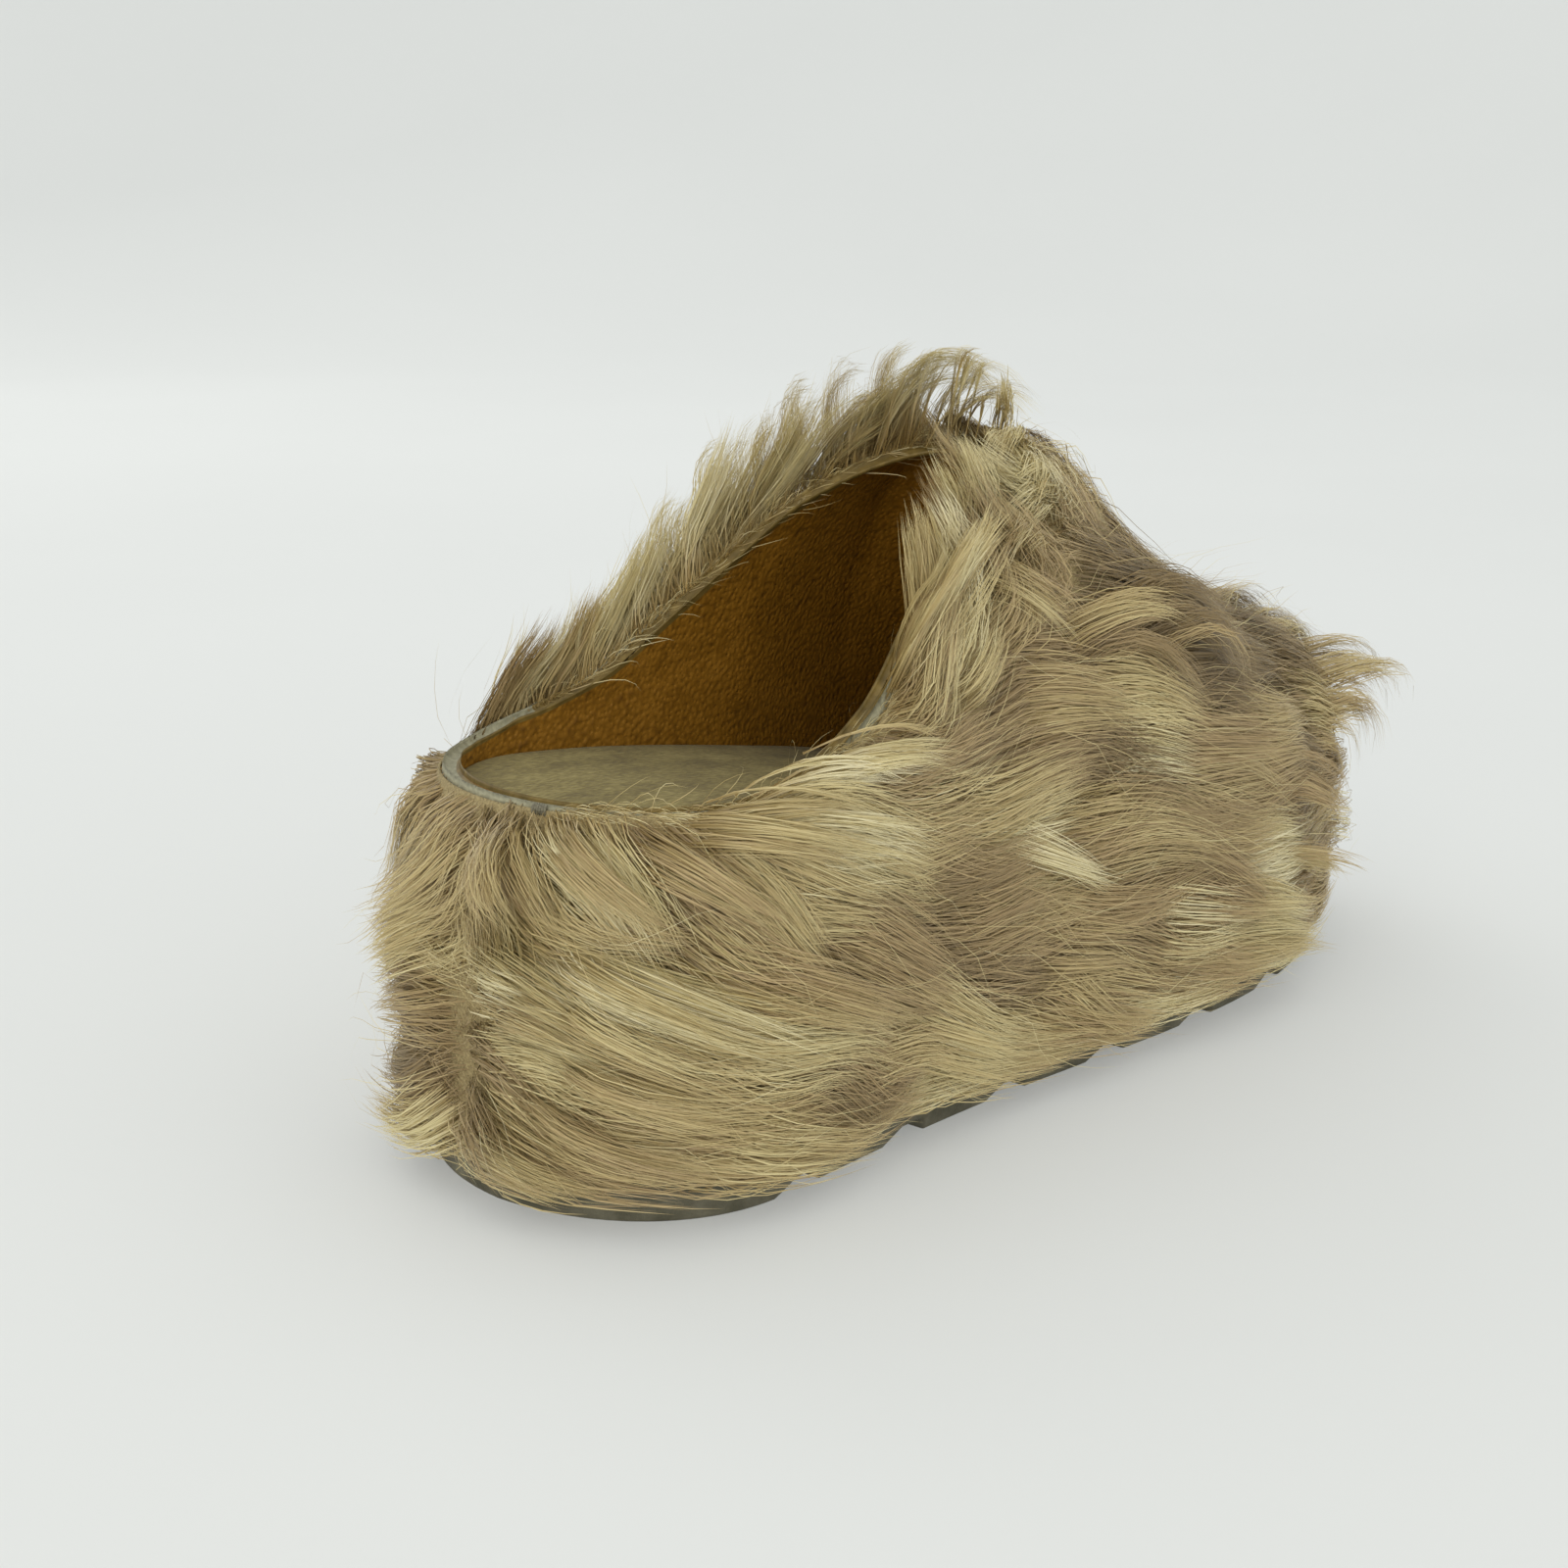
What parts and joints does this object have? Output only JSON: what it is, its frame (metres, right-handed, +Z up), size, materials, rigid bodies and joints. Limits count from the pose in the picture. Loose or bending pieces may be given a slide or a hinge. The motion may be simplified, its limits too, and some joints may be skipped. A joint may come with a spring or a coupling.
{
  "type": "fur mule",
  "caption": "Right platform mule in long pale goat fur over wedge and upper, with a low open back, leather lining, suede insole and lugged rubber outsole.",
  "frame": {"origin": "on the floor, at the centre of the first heel lug, which is the tread under the heel", "axes": "+X from heel to toe, +Y to the medial (left) side of this right shoe, +Z up"},
  "size_m": [0.2738, 0.1199, 0.1341],
  "materials": {
    "outsole_rubber": "matte",
    "platform_foam": "matte",
    "insole_suede": "napped suede",
    "lining_leather": "satin grain",
    "fur": "long goat hair"
  },
  "bodies": {
    "root": {"outsole": "outsole_rubber", "platform": "platform_foam", "insole": "insole_suede", "upper": "lining_leather", "upper_fur": "fur", "platform_fur": "fur"}
  },
  "joints": []
}
